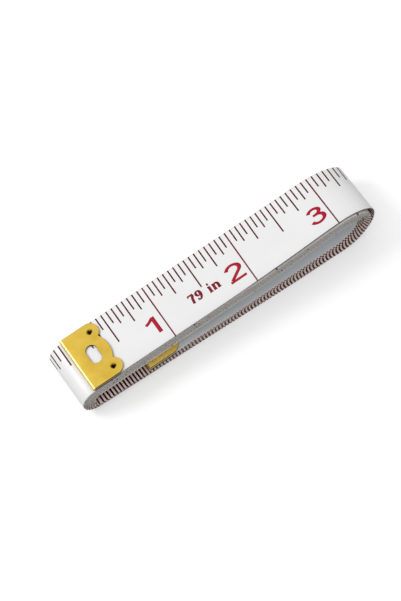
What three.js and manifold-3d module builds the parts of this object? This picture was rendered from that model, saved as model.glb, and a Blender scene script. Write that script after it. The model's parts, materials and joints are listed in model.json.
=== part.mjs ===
// A cloth tape measure wound flat: a printed ribbon in a teardrop winding, with a folded brass clip on each end.
// Millimetres, +X along the scale, +Y across the tape to its ticked edge, +Z up. The winding lies on z = 0.
import * as THREE from "three";
import { mergeVertices } from "three/addons/utils/BufferGeometryUtils.js";
import Module from "manifold-3d";

const wasm = await Module();
wasm.setup();

// Tape
const tapeWidth = 17;
const tapeThickness = 0.35;

// Winding: a belt round two bends, whose eye is narrow on the left and wide on the right
const laps = 5;
const lapGap = 0.48;
const bendSpan = 79.1;
const eyeLeftRadius = 0.5;
const eyeRightRadius = 3.0;
const innerYawDeg = 1.7;
const yawPivot = 40;
const innerEndPlace = 14.9;
const innerRampLength = 16;

// The outermost lap stands off the others at the right bend, more at its near edge than at its far one
const nearSlack = 1.9;
const farSlack = 0.15;
const swellTop = 0.48;
const swellEnd = 0.85;

// Free outer run: links hinged to each other, from the root hinge to the zero mark
const zeroMarkPlace = -0.2;
const leadLength = 64;
const leadLinks = 4;
const linkGap = 0.4;

// End clips: folded sheet with a lobed edge, an oval window in the upper leaf and two crimp pits
const clipSheet = 0.4;
const clipFit = 0.05;
const clipRest = 0.2;
const clipLength = 10.1;
const notchSpacing = 7.5;
const notchDepth = 1.27;
const centreLobeDrop = 0.25;
const windowPlace = 5.2;
const windowAcross = 5.5;
const windowAlong = 3.1;
const pitRadius = 0.7;
const pitDepth = 0.28;

// How finely curves are stepped
const bendSteps = 12;
const runSteps = 4;
const outerRunSteps = 10;
const pitSides = 6;
const arcSegments = 6;
const gapSampleSpacing = 0.5;

// Worked out from the sizes above
const pitch = tapeThickness + lapGap;
const half = tapeWidth / 2;
const eyeGrowth = eyeRightRadius - eyeLeftRadius;
const topSlope = 2 * Math.atan2(eyeGrowth, bendSpan);
const innerYaw = THREE.MathUtils.degToRad(innerYawDeg);
const foldInner = tapeThickness / 2 + clipFit;
const foldOuter = foldInner + clipSheet;
const underClip = clipFit + clipSheet + clipRest;
const clipLift = underClip - lapGap;
const outermost = offsetOfLap(1);
const leftHeight = eyeLeftRadius + outermost + tapeThickness / 2;
const leftCentre = new THREE.Vector2(0, leftHeight);
const rightCentre = new THREE.Vector2(bendSpan, leftHeight + eyeGrowth);

// Distance of a lap's middle from the eye: lap 1 is the outermost and the last lap lines the eye
function offsetOfLap(lap) {
  return tapeThickness / 2 + (laps - lap) * pitch;
}

// The tape's middle on a bend, at an angle from +X and an offset from the eye
function onBend(centre, eyeRadius, angle, offset) {
  const normal = new THREE.Vector2(Math.cos(angle), Math.sin(angle));
  return { place: centre.clone().addScaledVector(normal, eyeRadius + offset), normal };
}

const onLeft = (angle, offset) => onBend(leftCentre, eyeLeftRadius, angle, offset);
const onRight = (angle, offset) => onBend(rightCentre, eyeRightRadius, angle, offset);
const topAngle = Math.PI / 2 + topSlope;
const bottomAngle = -Math.PI / 2;

// The free run is a straight line from above the left bend to the outermost right bend
const leadLeft = onLeft(topAngle, outermost + tapeThickness + underClip).place;
const leadRight = onRight(topAngle, outermost).place;
const leadDirection = leadRight.clone().sub(leadLeft).normalize();
const leadNormal = new THREE.Vector2(-leadDirection.y, leadDirection.x);
const leadSlope = Math.atan2(leadDirection.y, leadDirection.x);
const zeroMark = leadLeft.clone().addScaledVector(
  leadDirection,
  (zeroMarkPlace - leadLeft.x) / leadDirection.x,
);
const rootHinge = zeroMark.clone().addScaledVector(leadDirection, leadLength);

const lerp = THREE.MathUtils.lerp;
const smoothstep = THREE.MathUtils.smoothstep;

// One cross-section of the winding: its middle, its outward normal, its offset and its slack at the two edges
function station({ place, normal }, offset, slack = 0) {
  return { place, normal, offset, slack };
}

// A straight run between two stations, without its first station
function run(from, to, steps) {
  return Array.from({ length: steps }, (_, i) => {
    const share = (i + 1) / steps;
    const place = from.place.clone().lerp(to.place, share);
    const normal = from.normal.clone().lerp(to.normal, share).normalize();
    return station({ place, normal }, lerp(from.offset, to.offset, share));
  });
}

// A bend at one offset, turning clockwise, without its first station
function bend(onSide, fromAngle, toAngle, offset) {
  return Array.from({ length: bendSteps }, (_, i) => {
    const angle = lerp(fromAngle, toAngle, (i + 1) / bendSteps);
    return station(onSide(angle, offset), offset);
  });
}

// The winding's stations, from the root hinge to the inner end
function windingStations() {
  const start = rootHinge.clone().addScaledVector(leadDirection, linkGap / 2);
  const path = [station({ place: start, normal: leadNormal }, outermost)];
  for (let lap = 1; lap <= laps; lap++) {
    const offset = offsetOfLap(lap);
    const rightTop = station(onRight(topAngle, offset), offset);
    path.push(...run(path.at(-1), rightTop, lap === 1 ? outerRunSteps : runSteps));
    path.push(...bend(onRight, topAngle, bottomAngle, offset));
    if (lap === 1) loosen(path);
    if (lap === laps) break;
    path.push(...run(path.at(-1), station(onLeft(bottomAngle, offset), offset), runSteps));
    path.push(...bend(onLeft, bottomAngle, topAngle - 2 * Math.PI, offset));
  }
  path.push(...innerRun(path.at(-1)));
  return path;
}

// The outermost lap swells away from the others over its right bend
function loosen(path) {
  const last = path.length - 1;
  path.forEach((s, i) => {
    const share = i / last;
    s.slack = smoothstep(share, 0, swellTop) * (1 - smoothstep(share, swellTop, swellEnd));
  });
}

// The last lower run, which lifts off the one below it to make room for its clip's lower leaf
function innerRun(from) {
  const floor = onLeft(bottomAngle, offsetOfLap(laps)).place.y;
  const normal = new THREE.Vector2(0, -1);
  const end = innerEndPlace + foldOuter + half * Math.tan(innerYaw);
  const level = innerEndPlace + clipLength;
  const ramp = level + innerRampLength;
  const at = (x, lift) =>
    station({ place: new THREE.Vector2(x, floor + lift), normal }, offsetOfLap(laps) - lift);
  const stations = run(from, at(ramp, 0), runSteps);
  for (let i = 1; i <= runSteps; i++) {
    const share = i / runSteps;
    stations.push(at(lerp(ramp, level, share), clipLift * smoothstep(share, 0, 1)));
  }
  stations.push(at(end, clipLift));
  return stations;
}

// How far a lap has drifted sideways: the inner laps are turned about an upright line through the pivot
function drift(offset, x) {
  const depth = Math.min(Math.max((outermost - offset) / (outermost - offsetOfLap(laps)), 0), 1);
  return depth * Math.tan(innerYaw) * (x - yawPivot);
}

// A point of a station on one edge of the tape (side -1 near, 1 far) at a height across its thickness
function edgePoint(s, side, height) {
  const slack = s.slack * (side < 0 ? nearSlack : farSlack);
  const at = s.place.clone().addScaledVector(s.normal, slack + height);
  return new THREE.Vector3(at.x, side * half + drift(s.offset, s.place.x), at.y);
}

// A closed ribbon through the stations, with flat square ends
function ribbonGeometry(path) {
  const skin = tapeThickness / 2;
  const corners = [[-1, skin], [-1, -skin], [1, -skin], [1, skin]];
  const positions = path.flatMap((s) =>
    corners.flatMap(([side, height]) => edgePoint(s, side, height).toArray()),
  );
  const index = [0, 2, 1, 0, 3, 2];
  for (let i = 0; i + 1 < path.length; i++) {
    for (let c = 0; c < corners.length; c++) {
      const a = i * corners.length + c;
      const b = i * corners.length + ((c + 1) % corners.length);
      const ahead = corners.length;
      index.push(a, b, b + ahead, a, b + ahead, a + ahead);
    }
  }
  const end = (path.length - 1) * corners.length;
  index.push(end, end + 1, end + 2, end, end + 2, end + 3);
  const geometry = new THREE.BufferGeometry();
  geometry.setAttribute("position", new THREE.Float32BufferAttribute(positions, 3));
  geometry.setIndex(index);
  return geometry;
}

// The least gap between laps, on points along both edges that are at least one outer bend apart along the tape
function leastGap(path) {
  const apart = Math.PI * (eyeLeftRadius + pitch);
  const gaps = [-1, 1].map((side) => {
    const line = new THREE.CurvePath();
    for (let i = 0; i + 1 < path.length; i++) {
      line.add(new THREE.LineCurve3(edgePoint(path[i], side, 0), edgePoint(path[i + 1], side, 0)));
    }
    const points = line.getSpacedPoints(Math.round(line.getLength() / gapSampleSpacing));
    const skip = Math.ceil(apart / gapSampleSpacing);
    let least = Infinity;
    for (let i = 0; i < points.length; i++) {
      for (let j = i + skip; j + 1 < points.length; j++) {
        const near = new THREE.Line3(points[j], points[j + 1]);
        const foot = near.closestPointToPoint(points[i], true, new THREE.Vector3());
        least = Math.min(least, foot.distanceTo(points[i]));
      }
    }
    return least - tapeThickness;
  });
  return Math.min(...gaps);
}

// A closed geometry as a solid for cutting
function solidOf(geometry) {
  const bare = geometry.clone();
  bare.deleteAttribute("normal");
  bare.deleteAttribute("uv");
  const merged = mergeVertices(bare);
  return new wasm.Manifold(
    new wasm.Mesh({
      numProp: 3,
      vertProperties: merged.attributes.position.array,
      triVerts: new Uint32Array(merged.index.array),
    }),
  );
}

// A cut solid as a geometry again
function geometryOf(solid) {
  const mesh = solid.getMesh();
  const geometry = new THREE.BufferGeometry();
  geometry.setAttribute("position", new THREE.BufferAttribute(mesh.vertProperties, mesh.numProp));
  geometry.setIndex(new THREE.BufferAttribute(mesh.triVerts, 1));
  return geometry;
}

// A shape drawn along and across the tape, extruded from one height to another
function prism(shape, low, high) {
  const settings = { depth: high - low, bevelEnabled: false, curveSegments: arcSegments };
  return new THREE.ExtrudeGeometry(shape, settings).translate(0, 0, low);
}

// The clip's outline: a straight fold, straight sides and three lobes between two notches
function clipOutline(lobe) {
  const notch = new THREE.Vector2(clipLength - notchDepth, notchSpacing / 2);
  const rise = notchDepth - centreLobeDrop;
  const centreRadius = (notch.y ** 2 + rise ** 2) / (2 * rise);
  const centreTurn = Math.asin(notch.y / centreRadius);
  const sideTurn = Math.atan2(notch.y - lobe.y, notch.x - lobe.x);
  const centre = clipLength - centreLobeDrop - centreRadius;
  const shape = new THREE.Shape();
  shape.moveTo(-foldOuter, -half);
  shape.lineTo(lobe.x, -half);
  shape.absarc(lobe.x, -lobe.y, lobe.radius, -Math.PI / 2, -sideTurn, false);
  shape.absarc(centre, 0, centreRadius, -centreTurn, centreTurn, false);
  shape.absarc(lobe.x, lobe.y, lobe.radius, sideTurn, Math.PI / 2, false);
  shape.lineTo(-foldOuter, half);
  return shape;
}

// The side lobes touch the clip's side, its end and the notch
function sideLobe() {
  const inset = half - notchSpacing / 2;
  const radius = inset + notchDepth - Math.sqrt(2 * inset * notchDepth);
  return { radius, x: clipLength - radius, y: half - radius };
}

// A folded clip: its fold is on the left, the tape's middle is at z = 0 and its window looks up
function clipGeometry() {
  const lobe = sideLobe();
  const fold = new THREE.Shape();
  fold.moveTo(clipLength, foldOuter);
  fold.lineTo(foldOuter, foldOuter);
  fold.absarc(foldOuter, 0, foldOuter, Math.PI / 2, -Math.PI / 2 + 2 * Math.PI, false);
  fold.lineTo(clipLength, -foldOuter);
  fold.lineTo(clipLength, -foldInner);
  fold.absarc(foldOuter, 0, foldInner, -Math.PI / 2 + 2 * Math.PI, Math.PI / 2, true);
  fold.lineTo(clipLength, foldInner);
  const folded = prism(fold, -tapeWidth, tapeWidth).rotateX(Math.PI / 2);
  const trimmed = solidOf(folded).intersect(solidOf(prism(clipOutline(lobe), -clipLength, clipLength)));
  const oval = new THREE.Shape();
  oval.absellipse(windowPlace, 0, windowAlong / 2, windowAcross / 2, 0, 2 * Math.PI);
  let clip = trimmed.subtract(solidOf(prism(oval, 0, clipLength)));
  for (const side of [-1, 1]) {
    const pit = new THREE.ConeGeometry(2 * pitRadius, 2 * pitDepth, pitSides)
      .rotateX(-Math.PI / 2)
      .translate(lobe.x, side * lobe.y, foldOuter);
    clip = clip.subtract(solidOf(pit));
  }
  return geometryOf(clip);
}

// White vinyl and plated brass
const vinyl = new THREE.MeshStandardMaterial({ color: 0xefeeee, roughness: 0.45, metalness: 0 });
const brass = new THREE.MeshStandardMaterial({ color: 0xdebb46, roughness: 0.3, metalness: 1 });

// A named mesh
function piece(name, geometry, material) {
  const mesh = new THREE.Mesh(geometry, material);
  mesh.name = name;
  return mesh;
}

// One straight link of the free run, which reaches from its hinge towards the zero mark
function linkGeometry(length, inset) {
  const clear = linkGap / 2;
  return new THREE.BoxGeometry(length - clear - inset, tapeWidth, tapeThickness).translate(
    -(length + clear - inset) / 2,
    0,
    0,
  );
}

// The free run: each link hangs in the group of the link before it, whose origin is the hinge
function makeLead() {
  const linkLength = leadLength / leadLinks;
  const root = new THREE.Group();
  root.position.set(rootHinge.x, 0, rootHinge.y);
  root.rotation.y = -leadSlope;
  let hinge = root;
  for (let i = 1; i <= leadLinks; i++) {
    hinge.name = `hinge_${i}`;
    const tip = i === leadLinks;
    const name = tip ? "tape_lead_tip" : `tape_lead_${i}`;
    hinge.add(piece(name, linkGeometry(linkLength, tip ? foldOuter : linkGap / 2), vinyl));
    if (tip) break;
    const next = new THREE.Group();
    next.position.x = -linkLength;
    hinge.add(next);
    hinge = next;
  }
  const clip = piece("outer_end_clip", clipGeometry(), brass);
  clip.position.x = -linkLength;
  hinge.add(clip);
  return root;
}

// The clip on the inner end, which lies on the floor of the eye
function makeInnerClip(path) {
  const clip = piece("inner_end_clip", clipGeometry(), brass);
  const end = path.at(-1);
  clip.position.set(innerEndPlace, drift(end.offset, innerEndPlace), end.place.y);
  clip.rotation.z = innerYaw;
  return clip;
}

const path = windingStations();
console.log(`least gap of the winding to itself: ${leastGap(path).toFixed(3)} mm`);

const tapeMeasure = new THREE.Group();
tapeMeasure.name = "cloth_tape_measure";
tapeMeasure.add(piece("tape_coil", ribbonGeometry(path), vinyl));
tapeMeasure.add(makeInnerClip(path));
tapeMeasure.add(makeLead());

// The origin is the middle of the bottom
tapeMeasure.updateMatrixWorld(true);
const box = new THREE.Box3().setFromObject(tapeMeasure, true);
const middle = box.getCenter(new THREE.Vector3());
tapeMeasure.position.set(-middle.x, -middle.y, -box.min.z);

export default tapeMeasure;
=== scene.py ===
"""A cloth tape measure wound flat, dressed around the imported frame.

The printed tape, its figures, its two folded brass clips and a plain studio. Sizes are in millimetres
and measured from the scale's zero mark, on the table: X along the scale, Y across the tape towards its
ticked edge, Z up.
"""

import json
import logging
import math
from collections.abc import Callable, Mapping, Sequence
from dataclasses import dataclass, field
from enum import Enum

import bmesh
import bpy
import numpy as np
from mathutils import Matrix, Vector


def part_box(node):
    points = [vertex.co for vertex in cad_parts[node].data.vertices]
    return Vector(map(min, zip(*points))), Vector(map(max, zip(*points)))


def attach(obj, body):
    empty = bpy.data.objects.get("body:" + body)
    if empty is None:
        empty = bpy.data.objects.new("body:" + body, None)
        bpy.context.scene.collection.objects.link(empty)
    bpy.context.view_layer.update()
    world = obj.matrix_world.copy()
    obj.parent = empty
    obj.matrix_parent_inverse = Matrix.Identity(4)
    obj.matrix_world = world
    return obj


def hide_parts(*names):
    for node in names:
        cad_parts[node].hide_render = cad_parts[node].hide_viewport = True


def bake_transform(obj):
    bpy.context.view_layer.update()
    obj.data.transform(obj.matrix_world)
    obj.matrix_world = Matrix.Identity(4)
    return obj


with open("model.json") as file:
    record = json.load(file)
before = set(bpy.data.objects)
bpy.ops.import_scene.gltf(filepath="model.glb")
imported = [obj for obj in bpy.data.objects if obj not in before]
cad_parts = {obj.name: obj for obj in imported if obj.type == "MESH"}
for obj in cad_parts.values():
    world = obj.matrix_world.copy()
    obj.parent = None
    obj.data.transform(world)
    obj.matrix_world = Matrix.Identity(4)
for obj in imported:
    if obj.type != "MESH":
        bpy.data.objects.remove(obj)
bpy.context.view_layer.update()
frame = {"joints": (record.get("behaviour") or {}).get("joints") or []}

MM = 0.001
INCH = 25.4
CENTIMETRE = 10.0
TAPE_MAP = "tape_mm"
BAKE_MAP = "OFBake"
PIT_SHADE_LAYER = "pit"
GRAIN_MAP = "grain"
WELD = 0.001
ARC_STEPS = 20
WHITE = "#ffffff"

Point = tuple[float, float]
Place = tuple[float, float, float]
Tree = bpy.types.NodeTree
Socket = bpy.types.NodeSocket
Material = bpy.types.Material
Piece = bpy.types.Object
Mesh = bmesh.types.BMesh
log = logging.getLogger("tape_measure")


class Side(Enum):
    """The tape's two edges: the near one faces the camera and the far one carries the inch ticks."""

    NEAR = 0
    FAR = 1


class Lap(Enum):
    """The two ways that laps lie: the outermost is loose and the others are tight."""

    LOOSE = "loose"
    TIGHT = "tight"


class Ink(Enum):
    """The material slots of the figures."""

    FIGURE = 0
    LEGEND = 1


class Finish(Enum):
    """The material slots of a clip."""

    LEAF = 0
    RIM = 1
    FOLD = 2


class Face(Enum):
    """The tape's two printed faces: inches outside and centimetres inside."""

    OUTER = 1
    INNER = -1


def linear(colour: str) -> tuple[float, float, float, float]:
    """Turns an sRGB hex colour to linear light.

    Args:
        colour: the colour as #rrggbb.

    Returns:
        The linear colour with an alpha of 1.
    """
    parts = [int(colour[i : i + 2], 16) / 255 for i in (1, 3, 5)]
    light = [c / 12.92 if c <= 0.04045 else ((c + 0.055) / 1.055) ** 2.4 for c in parts]
    return (*light, 1.0)


def add_node(tree: Tree, kind: str, inputs: Mapping | None = None, **settings) -> bpy.types.Node:
    """Adds one shader node.

    Args:
        tree: the node tree that gets it.
        kind: the node's type, without its ShaderNode prefix.
        inputs: its sockets by name or number, each with a value or with the socket that it is linked to.
        **settings: the node's own properties.

    Returns:
        The new node.
    """
    made = tree.nodes.new("ShaderNode" + kind)
    for name, value in settings.items():
        setattr(made, name, value)
    for key, value in (inputs or {}).items():
        if isinstance(value, Socket):
            tree.links.new(value, made.inputs[key])
        else:
            made.inputs[key].default_value = value
    return made


def new_material(name: str) -> tuple[Material, Tree]:
    """Makes an empty node material.

    Args:
        name: the material's name.

    Returns:
        The material and its emptied tree.
    """
    material = bpy.data.materials.new(name)
    material.use_nodes = True
    material.node_tree.nodes.clear()
    return material, material.node_tree


def smooth(share: float) -> float:
    """An even step from 0 to 1.

    Args:
        share: how far along the step it is.

    Returns:
        The step's height there.
    """
    held = min(max(share, 0.0), 1.0)
    return held * held * (3 - 2 * held)


def resample(points: np.ndarray, count: int) -> np.ndarray:
    """Spaces points evenly along a line.

    Args:
        points: the line's points, one a row.
        count: how many points to return, both ends included.

    Returns:
        The evenly spaced points.
    """
    along = lengths(points)
    wanted = np.linspace(0, along[-1], count)
    return np.stack([np.interp(wanted, along, column) for column in points.T], axis=1)


def lengths(points: np.ndarray) -> np.ndarray:
    """The distance along a line at each of its points."""
    return np.concatenate([[0.0], np.cumsum(np.linalg.norm(np.diff(points, axis=0), axis=1))])


def bow(start: np.ndarray, rise: float, end: np.ndarray, end_rise: float, steps: int = 30) -> np.ndarray:
    """A smooth line between two points of the profile that leaves and arrives with given slopes.

    Args:
        start: the first point.
        rise: the slope there.
        end: the last point.
        end_rise: the slope there.
        steps: how many points to return.

    Returns:
        Points in the winding's profile.
    """
    t = np.linspace(0, 1, steps)
    span = end[0] - start[0]
    height = (
        start[1] * (2 * t**3 - 3 * t**2 + 1)
        + span * rise * (t**3 - 2 * t**2 + t)
        + end[1] * (3 * t**2 - 2 * t**3)
        + span * end_rise * (t**3 - t**2)
    )
    return np.stack([start[0] + span * t, height], axis=1)


def mapped_grid(bm: Mesh, along: int, across: int, place: Callable[[int, int], Vector]) -> dict:
    """Lays a grid of faces on a surface.

    Args:
        bm: the mesh that gets the grid.
        along: faces along the surface.
        across: faces across it.
        place: gives the place of the grid's point at two whole numbers.

    Returns:
        The two whole numbers of each new vertex.
    """
    made = bmesh.ops.create_grid(bm, x_segments=along, y_segments=across, size=0.5)
    index = {v: (round((v.co.x + 0.5) * along), round((v.co.y + 0.5) * across)) for v in made["verts"]}
    for vert, (i, j) in index.items():
        vert.co = place(i, j)
    return index


def new_piece(name: str, bm: Mesh, materials: Sequence[Material]) -> Piece:
    """Turns a bmesh in millimetres into a piece of the object, at the origin and in metres.

    Args:
        name: the piece's name.
        bm: its mesh, which is freed.
        materials: the materials of its slots.

    Returns:
        The new object.
    """
    bmesh.ops.scale(bm, vec=Vector((MM, MM, MM)), verts=bm.verts)
    mesh = bpy.data.meshes.new(name)
    bm.to_mesh(mesh)
    bm.free()
    mesh.shade_smooth()
    for material in materials:
        mesh.materials.append(material)
    piece = bpy.data.objects.new(name, mesh)
    bpy.context.scene.collection.objects.link(piece)
    return piece


@dataclass(frozen=True)
class Lead:
    """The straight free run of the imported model, read from its hinges, in millimetres of the frame."""

    hinges: tuple[Vector, ...]
    spacing: float
    direction: Vector
    zero: Vector

    @classmethod
    def from_frame(cls) -> "Lead":
        """Reads the hinges of the free run, the one nearest the winding first.

        Returns:
            The free run.
        """
        across = sum(corner.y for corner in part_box("outer_end_clip")) / 2
        places = [Vector((j["pos_m"][0], across, j["pos_m"][2])) / MM for j in frame["joints"]]
        spacing = (places[1] - places[0]).length
        direction = (places[0] - places[-1]).normalized()
        return cls(tuple(places), spacing, direction, places[-1] - direction * spacing)

    @property
    def origin(self) -> Vector:
        """The point of the table under the zero mark, in the frame."""
        return Vector((self.zero.x, self.zero.y, 0.0))

    @property
    def slope(self) -> float:
        """The run's rise for each millimetre of table."""
        return self.direction.z / self.direction.x


@dataclass(frozen=True)
class RightBend:
    """One edge's outline round the wide end: its top, its nose and where it meets the lower run."""

    top_x: float
    top_z: float
    nose_x: float
    nose_z: float
    low_x: float
    low_z: float

    def inset(self, depth: float, slack: float = 0.0) -> "RightBend":
        """The outline of a lap that lies deeper by that much.

        Args:
            depth: how much deeper it lies on the runs.
            slack: how much further it falls back at the nose, where the laps are loose.

        Returns:
            The deeper outline.
        """
        return RightBend(
            self.top_x - slack,
            self.top_z - depth,
            self.nose_x - depth - slack,
            self.nose_z,
            self.low_x - slack,
            self.low_z + depth,
        )

    def upper_start(self, slope: float) -> float:
        """The angle from the top at which the upper quarter has that slope."""
        return -math.atan(slope * (self.nose_x - self.top_x) / (self.top_z - self.nose_z))

    def upper(self, start: float, steps: int = 40) -> np.ndarray:
        """The upper quarter, from an angle past the top to the nose.

        Args:
            start: the first angle, clockwise from the top.
            steps: how finely it is stepped.

        Returns:
            Points in the winding's profile.
        """
        turn = np.linspace(start, math.pi / 2, steps)
        x = self.top_x + (self.nose_x - self.top_x) * np.sin(turn)
        return np.stack([x, self.nose_z + (self.top_z - self.nose_z) * np.cos(turn)], axis=1)

    def lower(self, steps: int = 40) -> np.ndarray:
        """The lower quarter, from the nose to the lower run.

        Args:
            steps: how finely it is stepped.

        Returns:
            Points in the winding's profile.
        """
        turn = np.linspace(math.pi / 2, math.pi, steps)
        x = self.low_x + (self.nose_x - self.low_x) * np.sin(turn)
        return np.stack([x, self.nose_z + (self.nose_z - self.low_z) * np.cos(turn)], axis=1)


@dataclass
class Ribbon:
    """Stations along the tape: its two edges, the outward normals there and the scale's reading."""

    edges: np.ndarray
    normals: np.ndarray
    reading: np.ndarray

    def __len__(self) -> int:
        """The number of stations."""
        return self.edges.shape[1]

    def part(self, first: int, last: int) -> "Ribbon":
        """The stations from the first to the last, both included."""
        keep = slice(first, last + 1)
        return Ribbon(self.edges[:, keep], self.normals[:, keep], self.reading[:, keep])

    def point(self, station: int, share: float, height: float) -> Vector:
        """A point of the tape at a station.

        Args:
            station: the station's number.
            share: how far across the tape, from 0 at the near edge to 1 at the far one.
            height: how far out of the tape's middle.

        Returns:
            The point, in millimetres.
        """
        place = self.edges[0, station] * (1 - share) + self.edges[1, station] * share
        normal = self.normals[0, station] * (1 - share) + self.normals[1, station] * share
        return Vector(place + normal * height)

    def reading_at(self, station: int, share: float) -> float:
        """The scale's reading at a station, a share of the way across."""
        return float(self.reading[0, station] * (1 - share) + self.reading[1, station] * share)

    def at_reading(self, reading: float, share: float, height: float) -> Vector:
        """A point of the tape at a reading of its scale.

        Args:
            reading: millimetres from the zero mark.
            share: how far across the tape.
            height: how far out of the tape's middle.

        Returns:
            The point, in millimetres.
        """
        scale = self.reading[0] * (1 - share) + self.reading[1] * share
        where = float(np.interp(reading, scale, np.arange(len(self))))
        low = min(int(where), len(self) - 2)
        before = self.point(low, share, height)
        return before.lerp(self.point(low + 1, share, height), where - low)


@dataclass
class WindingPath:
    """The route of the whole tape, from the outer clip to the inner one."""

    lead: Lead
    width: float = 17.0
    thickness: float = 0.285
    laps: int = 11
    pitch: float = 0.302
    left_x: float = 0.2
    left_radius: float = 4.17
    lead_sync: float = 71.0
    lap_sync: float = 66.0
    tape_start: float = 0.625
    bow_start: Mapping = field(default_factory=lambda: {Lap.LOOSE: 40.0, Lap.TIGHT: 44.0})
    bow_slopes: Mapping = field(
        default_factory=lambda: {
            (Lap.LOOSE, Side.NEAR): 0.03,
            (Lap.LOOSE, Side.FAR): 0.0,
            (Lap.TIGHT, Side.NEAR): 0.035,
            (Lap.TIGHT, Side.FAR): 0.048,
        }
    )
    bow_heights: Mapping = field(default_factory=lambda: {Side.NEAR: 11.01, Side.FAR: 10.45})
    loose: Mapping = field(
        default_factory=lambda: {
            Side.NEAR: RightBend(77.3, 14.32, 86.1, 9.6, 73.5, 0.0),
            Side.FAR: RightBend(73.0, 12.2, 85.6, 6.1, 79.0, 0.0),
        }
    )
    tight: Mapping = field(
        default_factory=lambda: {
            Side.NEAR: RightBend(77.8, 13.72, 84.75, 9.2, 73.5, 0.302),
            Side.FAR: RightBend(73.0, 11.85, 85.35, 6.1, 79.0, 0.302),
        }
    )
    yaw: float = math.radians(1.7)
    yaw_pivot: float = 40.2
    nose_slack: float = -0.015
    loose_gap: float = 0.42
    snug_laps: int = 8
    depth_power: float = 1.5
    forward: float = 0.3
    forward_start: float = 34.0
    forward_span: float = 20.0
    left_slack: float = 0.06
    loose_drift: float = 0.55
    tight_drift: float = 0.32
    loose_start: float = 58.0
    loose_span: float = 26.0
    lower_slack: float = 7.51
    stretch: float = 0.0018
    stretch_start: float = 200.0
    slack_start: float = 105.0
    slack_span: float = 70.0
    settle_start: float = 110.0
    settle_span: float = 40.0
    wobble_lengths: Point = (37.0, 23.0)
    wobble: float = 0.05
    most_turn: float = 0.04
    end_place: float = 15.98
    end_level: float = 25.2
    end_ramp: float = 16.0
    end_height: float = 3.665
    lead_step: float = 0.6
    run_steps: int = 14
    bend_steps: int = 26
    left_steps: int = 22
    curve_points: int = 60
    ramp_points: int = 200
    clip_place: float = 15.1

    def sync_x(self, lap: int) -> float:
        """The place near the wide bend up to which both edges of a lap are stepped alike."""
        return self.lead_sync if lap == 1 else self.lap_sync

    def middle_bend(self, lap: int, side: Side) -> RightBend:
        """A lap's right bend, at the middle of the tape's thickness.

        Args:
            lap: the lap's number, 1 for the outermost.
            side: the edge.

        Returns:
            The bend's outline.
        """
        half = self.thickness / 2
        if lap == 1:
            return self.loose[side].inset(half)
        slack = (lap - 2) * self.nose_slack + max(lap - self.snug_laps, 0) * self.loose_gap
        return self.tight[side].inset((lap - 2) * self.pitch + half, slack)

    def left_top(self, lap: int, slope: float) -> np.ndarray:
        """Where a lap leaves the left bend for the next top run.

        Args:
            lap: the lap's number, 1 for the outermost.
            slope: the next run's rise for each millimetre.

        Returns:
            The point in the winding's profile.
        """
        radius = self.left_radius - self.thickness / 2 - (lap - 1) * self.pitch
        angle = math.pi / 2 + math.atan(slope)
        centre = self.left_x + (lap - 1) * self.left_slack
        return np.array([centre + radius * math.cos(angle), self.left_radius + radius * math.sin(angle)])

    def run_slope(self, lap: int, side: Side) -> float:
        """The rise of a lap's straight top run, from the left bend of the lap outside it.

        Args:
            lap: the lap's number, 1 for the outermost.
            side: the edge.

        Returns:
            The rise for each millimetre.
        """
        if lap == 1:
            return self.lead.slope
        start = self.left_top(lap - 1, 0.0)
        height = self.bow_heights[side] - self.thickness / 2 - (lap - 2) * self.pitch
        return (height - start[1]) / (self.bow_start[Lap.TIGHT] - start[0])

    def upper_line(self, lap: int, side: Side) -> np.ndarray:
        """A lap's whole upper side, from its start on the left to the nose.

        Args:
            lap: the lap's number, 1 for the outermost.
            side: the edge.

        Returns:
            Points in the winding's profile.
        """
        kind = Lap.LOOSE if lap == 1 else Lap.TIGHT
        slope = self.run_slope(lap, side)
        if lap == 1:
            start = np.array([self.tape_start, self.lead.zero.z + slope * self.tape_start])
        else:
            start = self.left_top(lap - 1, slope)
        turn = self.bow_start[kind]
        knee = np.array([turn, start[1] + slope * (turn - start[0])])
        bend = self.middle_bend(lap, side)
        arrival = self.bow_slopes[kind, side]
        curve = bend.upper(bend.upper_start(arrival))
        return np.concatenate([[start], bow(knee, slope, curve[0], arrival), curve[1:]])

    def split_upper(self, lap: int, side: Side) -> tuple[np.ndarray, np.ndarray]:
        """A lap's upper side in two parts, up to the place where its edges are stepped alike and from there.

        Args:
            lap: the lap's number, 1 for the outermost.
            side: the edge.

        Returns:
            Points in the winding's profile, for each part.
        """
        line = self.upper_line(lap, side)
        place = self.sync_x(lap)
        last = int(np.argmax(line[:, 0] > place))
        height = np.interp(place, line[last - 1 : last + 1, 0], line[last - 1 : last + 1, 1])
        meet = np.array([[place, height]])
        return np.concatenate([line[:last], meet]), np.concatenate([meet, line[last:]])

    def right_low(self, lap: int, side: Side) -> np.ndarray:
        """From the nose down to the lower run, as profile points."""
        bend = self.middle_bend(lap, side)
        return np.concatenate([bend.lower(), [[self.sync_x(lap), bend.low_z]]])

    def left_bend(self, lap: int, side: Side) -> np.ndarray:
        """The left bend, from the lower run up to the next top run.

        Args:
            lap: the lap's number, 1 for the outermost.
            side: the edge.

        Returns:
            Points in the winding's profile.
        """
        radius = self.left_radius - self.thickness / 2 - (lap - 1) * self.pitch
        last = math.atan(self.run_slope(lap + 1, side)) - 1.5 * math.pi
        turn = np.linspace(-math.pi / 2, last, self.curve_points)
        centre = np.array([self.left_x + (lap - 1) * self.left_slack, self.left_radius])
        return centre + radius * np.stack([np.cos(turn), np.sin(turn)], axis=1)

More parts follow.
